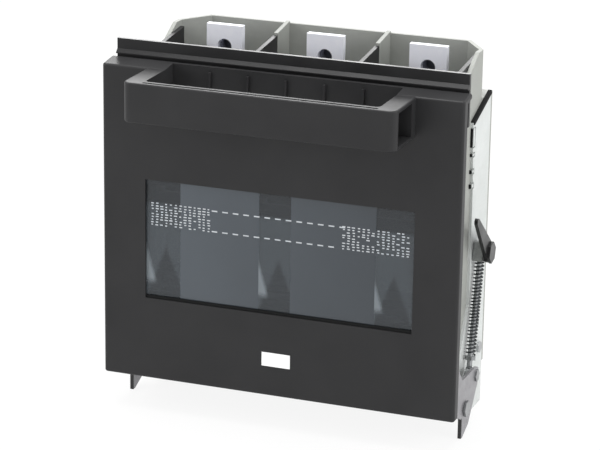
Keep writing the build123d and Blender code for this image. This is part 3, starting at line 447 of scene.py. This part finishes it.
def tinted_polycarbonate():
    """Polycarbonate pane: grey foil behind two panels of it, and clear strips that dimly show the fuses under
    painted shade and a painted highlight.
    """
    material, tree, place, shader = start("tinted_polycarbonate_pane")
    axes = put(tree, "ShaderNodeSeparateXYZ", links={"Vector": place})
    across, height = axes.outputs["X"], axes.outputs["Z"]

    # Where the foil lies: 1 on either panel
    panels = [
        put(tree, "ShaderNodeMath", {"operation": "COMPARE", 1: middle * mm, 2: half * mm}, {0: across})
        for middle, half in foil_panels
    ]
    covered = put(
        tree,
        "ShaderNodeMath",
        {"operation": "MAXIMUM"},
        {0: panels[0].outputs["Value"], 1: panels[1].outputs["Value"]},
    ).outputs["Value"]

    # The foil is faintly clouded, and darker to the right in painted shade, as the light from the left falls off
    # across the pane
    clouds = put(tree, "ShaderNodeTexNoise", {"Scale": per_metre(55), "Detail": 2.0}, {"Vector": place})
    painted_shade_sweep = put(
        tree,
        "ShaderNodeMapRange",
        {"From Min": window_half_width * mm, "From Max": -window_half_width * mm},
        {"Value": across},
    )
    cloud_share = 0.3
    cloudy = put(
        tree,
        "ShaderNodeMath",
        {"operation": "MULTIPLY_ADD", 1: cloud_share},
        {0: clouds.outputs["Fac"], 2: painted_shade_sweep.outputs["Result"]},
    )
    foil = put(
        tree,
        "ShaderNodeMix",
        {"data_type": "RGBA", first_colour: linear("#272D33"), second_colour: linear("#424950")},
        {"Factor": cloudy.outputs["Value"]},
    )

    # Distance across from the middle of the strip
    beside = put(tree, "ShaderNodeMath", {"operation": "ADD", 1: -strip_middle * mm}, {0: across})
    beside = put(
        tree,
        "ShaderNodeMath",
        {"operation": "WRAP", 1: strip_spacing / 2 * mm, 2: -strip_spacing / 2 * mm},
        {0: beside.outputs["Value"]},
    ).outputs["Value"]

    # Painted shade: a strip is darkened above, as the shadow of the cover's wall, and below the fuse body's ridged
    # front
    off_ridge = put(tree, "ShaderNodeMath", {"operation": "SUBTRACT", 1: shade_ridge_offset * mm}, {0: beside})
    off_ridge = put(tree, "ShaderNodeMath", {"operation": "ABSOLUTE"}, {0: off_ridge.outputs["Value"]})
    ridge = put(
        tree,
        "ShaderNodeMath",
        {"operation": "MULTIPLY_ADD", 1: shade_ridge_slope},
        {0: off_ridge.outputs["Value"], 2: height},
    )
    painted_ridge_shade = put(
        tree,
        "ShaderNodeMapRange",
        {"From Min": shade_ridge_top * mm, "From Max": (shade_ridge_top - shade_ridge_fade) * mm, "To Max": 0.8},
        {"Value": ridge.outputs["Value"]},
    )
    in_shadow = put(
        tree,
        "ShaderNodeMapRange",
        {"From Min": shadow_foot * mm, "From Max": (shadow_foot + shadow_fade) * mm},
        {"Value": height},
    )
    dim = put(
        tree,
        "ShaderNodeMath",
        {"operation": "MAXIMUM"},
        {0: painted_ridge_shade.outputs["Result"], 1: in_shadow.outputs["Result"]},
    )
    behind = put(
        tree,
        "ShaderNodeMix",
        {"data_type": "RGBA", first_colour: linear("#42494F"), second_colour: linear("#292E33")},
        {"Factor": dim.outputs["Value"]},
    )

    # Painted highlight: a short light wedge stands for the light caught on the left flank of each fuse body
    flank = put(
        tree,
        "ShaderNodeMath",
        {"operation": "MULTIPLY_ADD", 1: highlight_slope},
        {0: beside, 2: height},
    )
    beyond_edge = put(
        tree,
        "ShaderNodeMapRange",
        {"From Min": highlight_edge * mm, "From Max": (highlight_edge - highlight_fade) * mm},
        {"Value": flank.outputs["Value"]},
    )
    above_foot = put(
        tree,
        "ShaderNodeMapRange",
        {"From Min": highlight_foot * mm, "From Max": (highlight_foot + highlight_foot_fade) * mm},
        {"Value": height},
    )
    painted_highlight = put(
        tree,
        "ShaderNodeMath",
        {"operation": "MULTIPLY"},
        {0: beyond_edge.outputs["Result"], 1: above_foot.outputs["Result"]},
    )
    strip = put(
        tree,
        "ShaderNodeMix",
        {"data_type": "RGBA", second_colour: linear("#7C848A")},
        {"Factor": painted_highlight.outputs["Value"], first_colour: behind.outputs[mixed_colour]},
    )

    tint = put(
        tree,
        "ShaderNodeMix",
        {"data_type": "RGBA"},
        {
            "Factor": covered,
            first_colour: strip.outputs[mixed_colour],
            second_colour: foil.outputs[mixed_colour],
        },
    )
    opacity = put(tree, "ShaderNodeMapRange", {"To Min": 0.72, "To Max": 0.95}, {"Value": covered})
    ripple = put(tree, "ShaderNodeTexNoise", {"Scale": per_metre(18), "Detail": 1.0}, {"Vector": place})
    relief = put(
        tree,
        "ShaderNodeBump",
        {"Strength": 0.15, "Distance": 0.1 * mm},
        {"Height": ripple.outputs["Fac"]},
    )
    shader.inputs["IOR"].default_value = 1.585
    shader.inputs["Roughness"].default_value = 0.22
    tree.links.new(tint.outputs[mixed_colour], shader.inputs["Base Color"])
    tree.links.new(opacity.outputs["Result"], shader.inputs["Alpha"])
    tree.links.new(relief.outputs["Normal"], shader.inputs["Normal"])
    return material


# Matt black glass-filled polyamide: the tool's spark-eroded grain breaks up the gloss
cover_black = moulding(
    "glass_filled_polyamide_cover",
    shades=("#262627", "#303031"),
    roughness=0.38,
    grain_mm=0.7,
    grain_height_mm=0.03,
    mottle_mm=40,
    specular=0.16,
)
# The shrouds are the same polyamide from a smoother tool, so their edges catch more light
shroud_black = moulding(
    "glass_filled_polyamide_shroud",
    shades=("#1D1D1E", "#272728"),
    roughness=0.34,
    grain_mm=0.9,
    grain_height_mm=0.02,
    mottle_mm=30,
    specular=0.2,
)
# Satin acetal of the cam's knob: a deeper black with a soft shine
knob_black = moulding(
    "moulded_acetal_knob",
    shades=("#101011", "#181819"),
    roughness=0.34,
    grain_mm=0.6,
    grain_height_mm=0.01,
    mottle_mm=15,
)
# Polyester moulding compound of the base: greenish grey, chalky, with chopped glass just under the skin
housing_grey = moulding(
    "polyester_moulding_compound",
    shades=("#8B8D89", "#9A9C97"),
    roughness=0.6,
    grain_mm=1.6,
    grain_height_mm=0.05,
    mottle_mm=9,
)
# Heat-proof melamine of the arc chambers: warmer and flatter than the base
chamber_grey = moulding(
    "melamine_arc_chamber",
    shades=("#8F8A7C", "#A39E90"),
    roughness=0.68,
    grain_mm=1.2,
    grain_height_mm=0.04,
    mottle_mm=6,
)
# White polyester film of the marking plate: smooth, with the slightest tooth
label_white = moulding(
    "matt_polyester_film",
    shades=("#F8F8F8", "#FDFDFD"),
    roughness=0.42,
    grain_mm=0.5,
    grain_height_mm=0.01,
    mottle_mm=20,
)
# Screen-printed white ink on the pane: thin, so that the tint behind it greys it unevenly
ink_white = moulding(
    "screen_printed_ink",
    shades=("#A4A9AE", "#C6CACE"),
    roughness=0.5,
    grain_mm=0.5,
    grain_height_mm=0.01,
    mottle_mm=6,
)
# Black nitrile rubber of the buffers, edge guards and pane sill, whose black is painted shade for shadowed gaps:
# dull, with a faint dusty bloom
shade_rubber = moulding(
    "black_nitrile_painted_shade",
    shades=("#0F0F10", "#191A1A"),
    roughness=0.8,
    grain_mm=0.5,
    grain_height_mm=0.02,
    mottle_mm=8,
    specular=0.15,
)

# Silver plate on copper: pale, bluish and softly blurred
silver = plated(
    "silver_plated_copper",
    shades=("#E4E6F0", "#F0F1F8"),
    roughness=0.4,
    patch_mm=7,
    scratch_mm=0.6,
    stretch=(1, 1, 0.08),
    metallic=0.1,
)
# The same plate on jaws and blades, where sliding has worn it greyer and drawn fine lines along the stroke
worn_silver = plated(
    "worn_silver_plate",
    shades=("#A9ABB2", "#C2C4CA"),
    roughness=0.34,
    patch_mm=5,
    scratch_mm=0.5,
    stretch=(1, 0.1, 1),
    metallic=0.7,
)
# Rolled galvanised sheet: pale zinc with faint spangles
galvanised = plated(
    "galvanised_sheet_steel",
    shades=("#BEC2C0", "#D0D3D2"),
    roughness=0.5,
    patch_mm=9,
    scratch_mm=0.8,
    stretch=(1, 0.1, 1),
    metallic=0.3,
)
# Zinc-plated screws: bright, with wiping marks from the plating barrel
screw_zinc = plated(
    "zinc_plated_screws",
    shades=("#9B9D9E", "#B5B7B8"),
    roughness=0.36,
    patch_mm=2,
    scratch_mm=0.4,
    stretch=(1, 1, 1),
)
# Turned steel of the pins, rods and trunnions: bright, with lathe marks around it
turned = plated(
    "turned_bright_steel",
    shades=("#7E8081", "#A2A4A5"),
    roughness=0.3,
    patch_mm=3,
    scratch_mm=0.3,
    stretch=(6, 1, 1),
)
# Spring steel strip: dark temper colour with a little brown in it
temper = plated(
    "tempered_spring_steel",
    shades=("#55524E", "#6B6864"),
    roughness=0.38,
    patch_mm=5,
    scratch_mm=0.4,
    stretch=(1, 1, 0.1),
)
# Oiled spring wire: nearly black, glossy
wire = plated(
    "oiled_spring_wire",
    shades=("#2E3032", "#46494B"),
    roughness=0.3,
    patch_mm=2,
    scratch_mm=0.3,
    stretch=(1, 1, 1),
)
# Phosphated steel of the captive nuts: dark grey, matt and slightly oily
nut_steel = plated(
    "phosphated_steel_nuts",
    shades=("#5B5D66", "#6E707A"),
    roughness=0.45,
    patch_mm=2,
    scratch_mm=0.3,
    stretch=(1, 1, 1),
    metallic=0.5,
)
# Thin arc plates: zinc on steel, matt
arc_steel = plated(
    "zinc_plated_arc_plates",
    shades=("#7F8183", "#9A9C9E"),
    roughness=0.5,
    patch_mm=4,
    scratch_mm=0.4,
    stretch=(1, 0.2, 1),
)

finishes = {
    "black_cover_moulding": cover_black,
    "black_shroud_moulding": shroud_black,
    "black_knob": knob_black,
    "grey_housing_moulding": housing_grey,
    "grey_chamber_moulding": chamber_grey,
    "tinted_pane": tinted_polycarbonate(),
    "white_label": label_white,
    "silvered_terminal": silver,
    "silvered_jaw": worn_silver,
    "silvered_blade": worn_silver,
    "fuse_ceramic": steatite(),
    "spring_steel": temper,
    "coil_spring_steel": wire,
    "arc_plate_steel": arc_steel,
    "galvanised_sheet": galvanised,
    "zinc_plated_arm": lipped_zinc(),
    "bright_steel": turned,
    "zinc_plated_screws": screw_zinc,
}
for subpart in frame["record"]["subparts"]:
    piece = cad[subpart["node"]]
    piece.data.materials.clear()
    piece.data.materials.append(finishes[subpart["material_slot"]])


# Pieces made here


def mesh_piece(name, points, faces, material, smooth=False):
    """Mesh object from points in metres, with one material."""
    mesh = bpy.data.meshes.new(name)
    mesh.from_pydata(points, [], faces)
    mesh.update()
    mesh.materials.append(material)
    if smooth:
        mesh.shade_smooth()
    made = bpy.data.objects.new(name, mesh)
    bpy.context.scene.collection.objects.link(made)
    return made


def tube_faces(loops, count):
    """Closed skin over loops of as many points each, given by the number of each loop's first point."""
    faces = []
    for low, high in zip(loops, loops[1:]):
        for i in range(count):
            n = (i + 1) % count
            faces.append((low + i, low + n, high + n, high + i))
    faces.append(tuple(loops[0] + i for i in reversed(range(count))))
    faces.append(tuple(loops[-1] + i for i in range(count)))
    return faces


def drive_coil(name, side):
    """Coiled wire of one drive spring along its guide rod."""
    foot = Vector((side * crank_pin.x, crank_pin.y, crank_pin.z))
    head = Vector((side * trunnion_pin.x, trunnion_pin.y, trunnion_pin.z))
    along = (head - foot).normalized()
    outward = Vector((1, 0, 0))
    forward = along.cross(outward)
    wire_radius = coil_wire / 2 * mm
    first = coil_start * mm + wire_radius
    last = (head - foot).length - coil_end * mm - wire_radius
    turns = (last - first) / (coil_pitch * mm)
    count = int(turns * coil_turn_steps)
    points = []
    for i in range(count + 1):
        angle = 2 * math.pi * i / coil_turn_steps
        # The turns lie a little wider apart towards both ends
        share = i / count
        eased = share + coil_end_easing * math.sin(2 * math.pi * share)
        centre = foot + along * (first + (last - first) * eased)
        spoke = outward * math.cos(angle) + forward * math.sin(angle)
        for k in range(coil_wire_sides):
            turn = -2 * math.pi * k / coil_wire_sides
            offset = spoke * math.cos(turn) + along * math.sin(turn)
            points.append(centre + spoke * coil_radius * mm + offset * wire_radius)
    loops = [i * coil_wire_sides for i in range(count + 1)]
    return mesh_piece(name, points, tube_faces(loops, coil_wire_sides), wire, smooth=True)


for side, word in sides:
    coil = drive_coil(f"drive_coil_{word}", side)
    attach(coil, f"rod_{word}")
    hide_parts(f"drive_spring_{word}")


def to_hexagon(angle):
    """Distance from a nut's middle to its hexagon, along an angle."""
    off_flat = (angle + math.pi / 6) % (math.pi / 3) - math.pi / 6
    return nut_across / 2 / math.cos(off_flat)


def captive_nut(name, hole):
    """Hexagon cap nut on the back of a terminal tab, its blind bore cut with thread grooves."""
    angles = [2 * math.pi * i / nut_sides for i in range(nut_sides)]
    hexagon = [to_hexagon(angle) for angle in angles]
    # Radii and depth of each loop, from the closed end over the front face and down the bore
    profile = [(hexagon, nut_length), (hexagon, 0)]
    steps = 2 * thread_grooves
    for step in range(steps + 1):
        radius = bore_radius + (groove_depth if step % 2 == 0 else 0)
        profile.append(([radius] * nut_sides, bore_share * nut_length * step / steps))
    points = []
    for radii, depth in profile:
        for angle, radius in zip(angles, radii):
            x = hole.x + radius * mm * math.cos(angle)
            z = hole.z + radius * mm * math.sin(angle)
            points.append((x, (tab_back + depth) * mm, z))
    loops = [i * nut_sides for i in range(len(profile))]
    return mesh_piece(name, points, tube_faces(loops, nut_sides), nut_steel)


for word in ("line", "load"):
    for number in poles:
        nut = captive_nut(f"{word}_nut_{number}", mount_places[f"{word}_terminal_hole_{number}"])
        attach(nut, "base")


def bevelled_bar(name, low, high, bevel, material):
    """Bar between two corners in millimetres, with its edges bevelled."""
    made = mesh_piece(name, [], [], material)
    size = [(top - bottom) * mm for bottom, top in zip(low, high)]
    middle = [(top + bottom) / 2 * mm for bottom, top in zip(low, high)]
    place = Matrix.Translation(middle) @ Matrix.Diagonal((*size, 1))
    shape = bmesh.new()
    bmesh.ops.create_cube(shape, size=1)
    bmesh.ops.transform(shape, matrix=place, verts=shape.verts)
    bmesh.ops.bevel(shape, geom=shape.edges[:], offset=bevel * mm, segments=2, affect="EDGES")
    shape.to_mesh(made.data)
    shape.free()
    return made


# Each slot of a side plate holds a black rubber buffer, standing in as painted shade for the shadowed gap at the
# slot's front, and behind it a hook tongue of galvanised sheet
shade_buffer_front = plate_front + slot_seat
hook_front = shade_buffer_front + shade_buffer_width + slot_seat
slot_fillings = (
    ("slot_shade_buffer", shade_buffer_front, shade_buffer_width, shade_buffer_reach, shade_rubber, "black_knob"),
    ("slot_hook", hook_front, hook_width, hook_reach, galvanised, "galvanised_sheet"),
)
for side, word in sides:
    for number, (slot_low, slot_high) in enumerate(hook_slots, 1):
        for kind, front, width, reach, material, slot in slot_fillings:
            left, right = sorted(side * (plate_low.x + share) for share in reach)
            piece = bevelled_bar(
                f"{kind}_{word}_{number}",
                (left, front, slot_low + slot_play),
                (right, front + width, slot_high - slot_play),
                slot_bevel,
                material,
            )
            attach(piece, "base")


def shade_edge_guard(name, side):
    """Rubber channel on the slanted edge of a side plate, black as painted shade for the gap there, its inner leg
    only a film against the base.
    """
    front = Vector((0, plate_front + guard_front_inset, slant_front_z + guard_front_rise)) * mm
    rear = Vector((0, plate_high.y - guard_rear_inset, plate_high.z - guard_rear_drop)) * mm
    along = (rear - front).normalized()
    upward = Vector((1, 0, 0)).cross(along)
    inner, outer = plate_low.x, plate_high.x
    section = [
        (inner, -guard_depth),
        (inner, guard_top),
        (outer + guard_wall, guard_top),
        (outer + guard_wall, -guard_depth),
        (outer + guard_film, -guard_depth),
        (outer + guard_film, guard_seat),
        (inner + guard_film, guard_seat),
        (inner + guard_film, -guard_depth),
    ]
    # The order turns round with the side, so that the faces of both guards look outward
    section = [(side * x, rise) for x, rise in section][::side]
    points = []
    for end in (front, rear):
        for x, rise in section:
            points.append(end + Vector((x * mm, 0, 0)) + upward * rise * mm)
    return mesh_piece(name, points, tube_faces([0, len(section)], len(section)), shade_rubber)


for side, word in sides:
    guard = shade_edge_guard(f"plate_shade_guard_{word}", side)
    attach(guard, "base")

# Black rubber sill under the pane, just inside the window's lip, as painted shade for the shadow there
painted_shade_sill = bevelled_bar(
    "pane_shade_sill",
    (sill_play - window_half_width, pane_front - sill_proud, sill_play - window_half_height),
    (window_half_width - sill_play, pane_front - sill_seat, sill_height - window_half_height),
    sill_bevel,
    shade_rubber,
)
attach(painted_shade_sill, "cover")


def ink_marks(name, marks):
    """Thin printed marks on the front of the pane, from rectangles of x, z, width and height."""
    points, faces = [], []
    for x, z, wide, high in marks:
        first = len(points)
        for y in (pane_front - ink_proud, pane_front - ink_seat):
            for dx, dz in ((-1, -1), (1, -1), (1, 1), (-1, 1)):
                points.append(((x + dx * wide / 2) * mm, y * mm, (z + dz * high / 2) * mm))
        faces.append((first, first + 1, first + 2, first + 3))
        faces.append((first + 7, first + 6, first + 5, first + 4))
        for i in range(4):
            n = (i + 1) % 4
            faces.append((first + i, first + 4 + i, first + 4 + n, first + n))
    return mesh_piece(name, points, faces, ink_white)


marks = []
for z, dashes in dash_lines:
    for number in range(dashes):
        marks.append((dash_start + number * dash_step, z, *dash_size))
# The strokes sway a little, differ in length, and some are left out at random
chance = random.Random(stroke_seed)
for first, last, columns in stroke_blocks:
    column_step = (last - first) / columns
    for column in range(columns):
        for row in range(stroke_rows):
            if chance.random() < stroke_share:
                x = first + (column + 0.5) * column_step + chance.uniform(-stroke_sway, stroke_sway)
                z = stroke_foot + row * stroke_row_step + chance.uniform(-stroke_bob, stroke_bob)
                marks.append((x, z, chance.uniform(*stroke_widths), stroke_height))
printed = ink_marks("pane_print", marks)
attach(printed, "cover")


# Studio


def white_rays(tree):
    """1 for rays from the camera, off gloss and through glass, which see white, and 0 for all others."""
    path = put(tree, "ShaderNodeLightPath")
    seen = put(
        tree,
        "ShaderNodeMath",
        {"operation": "MAXIMUM"},
        {0: path.outputs["Is Camera Ray"], 1: path.outputs["Is Glossy Ray"]},
    )
    seen = put(
        tree,
        "ShaderNodeMath",
        {"operation": "MAXIMUM"},
        {0: seen.outputs["Value"], 1: path.outputs["Is Transmission Ray"]},
    )
    return seen.outputs["Value"]


def white_studio():
    """World that is white to look at, and lights the object at the room's level."""
    world = bpy.data.worlds.new("white_studio")
    world.use_nodes = True
    tree = world.node_tree
    tree.nodes.clear()
    room = put(tree, "ShaderNodeBackground", {"Color": linear("#FFFFFF"), "Strength": room_level})
    white = put(tree, "ShaderNodeBackground", {"Color": linear("#FFFFFF"), "Strength": white_level})
    mixed = put(
        tree,
        "ShaderNodeMixShader",
        links={0: white_rays(tree), 1: room.outputs["Background"], 2: white.outputs["Background"]},
    )
    put(tree, "ShaderNodeOutputWorld", links={"Surface": mixed.outputs["Shader"]})
    return world


def floor_paint():
    """Pale matt floor paint, lit by the lamps, and lifted to white for the camera but for the shadow."""
    material, tree, _, shader = start("pale_painted_floor")
    shader.inputs["Base Color"].default_value = linear("#F4F4F3")
    shader.inputs["Roughness"].default_value = 0.8
    shader.inputs["Specular IOR Level"].default_value = 0.2
    glow = put(tree, "ShaderNodeEmission", {"Color": linear("#FFFFFF"), "Strength": white_level})
    lift = put(tree, "ShaderNodeMath", {"operation": "MULTIPLY", 1: floor_lift}, {0: white_rays(tree)})
    mixed = put(
        tree,
        "ShaderNodeMixShader",
        links={0: lift.outputs["Value"], 1: shader.outputs["BSDF"], 2: glow.outputs["Emission"]},
    )
    output = next(node for node in tree.nodes if node.type == "OUTPUT_MATERIAL")
    tree.links.new(mixed.outputs["Shader"], output.inputs["Surface"])
    return material


bpy.context.scene.world = white_studio()

floor_z = cad_box[0][2] - floor_drop
floor = mesh_piece(
    "studio_floor",
    [(x * floor_reach, y * floor_reach, floor_z) for x, y in ((-1, -1), (1, -1), (1, 1), (-1, 1))],
    [(0, 1, 2, 3)],
    floor_paint(),
)


def softbox(name, place, aim, size, power):
    """Square area lamp at a place, turned to aim at a point, all in metres and watts."""
    lamp = bpy.data.lights.new(name, "AREA")
    lamp.size = size
    lamp.energy = power
    made = bpy.data.objects.new(name, lamp)
    made.location = place
    made.rotation_euler = (Vector(aim) - Vector(place)).to_track_quat("-Z", "Y").to_euler()
    bpy.context.scene.collection.objects.link(made)


softbox("overhead_softbox", place=(0, -0.1, 1.3), aim=(0, -0.1, 0), size=1.0, power=19)
softbox("left_softbox", place=(-0.95, -0.75, 0.45), aim=(-0.1, -0.1, 0), size=0.5, power=4.3)
softbox("right_softbox", place=(1.7, -0.35, 0.6), aim=(0.1, -0.05, 0), size=0.8, power=11.5)
# Behind the object, so that upward faces of the black mouldings mirror it to the camera
softbox("rear_softbox", place=(-0.6, 1.5, 0.7), aim=(0, -0.1, 0.1), size=0.8, power=9)

camera = bpy.data.objects.new("photo_camera", bpy.data.cameras.new("photo_camera"))
camera.data.sensor_fit = "HORIZONTAL"
camera.data.sensor_width = camera_sensor
camera.data.lens = camera_lens
camera.data.clip_end = camera_range
turn = Matrix((camera_right, camera_up, camera_back)).transposed().to_4x4()
camera.matrix_world = Matrix.Translation(camera_place) @ turn
bpy.context.scene.collection.objects.link(camera)
bpy.context.scene.camera = camera
bpy.context.scene.view_settings.view_transform = "Standard"
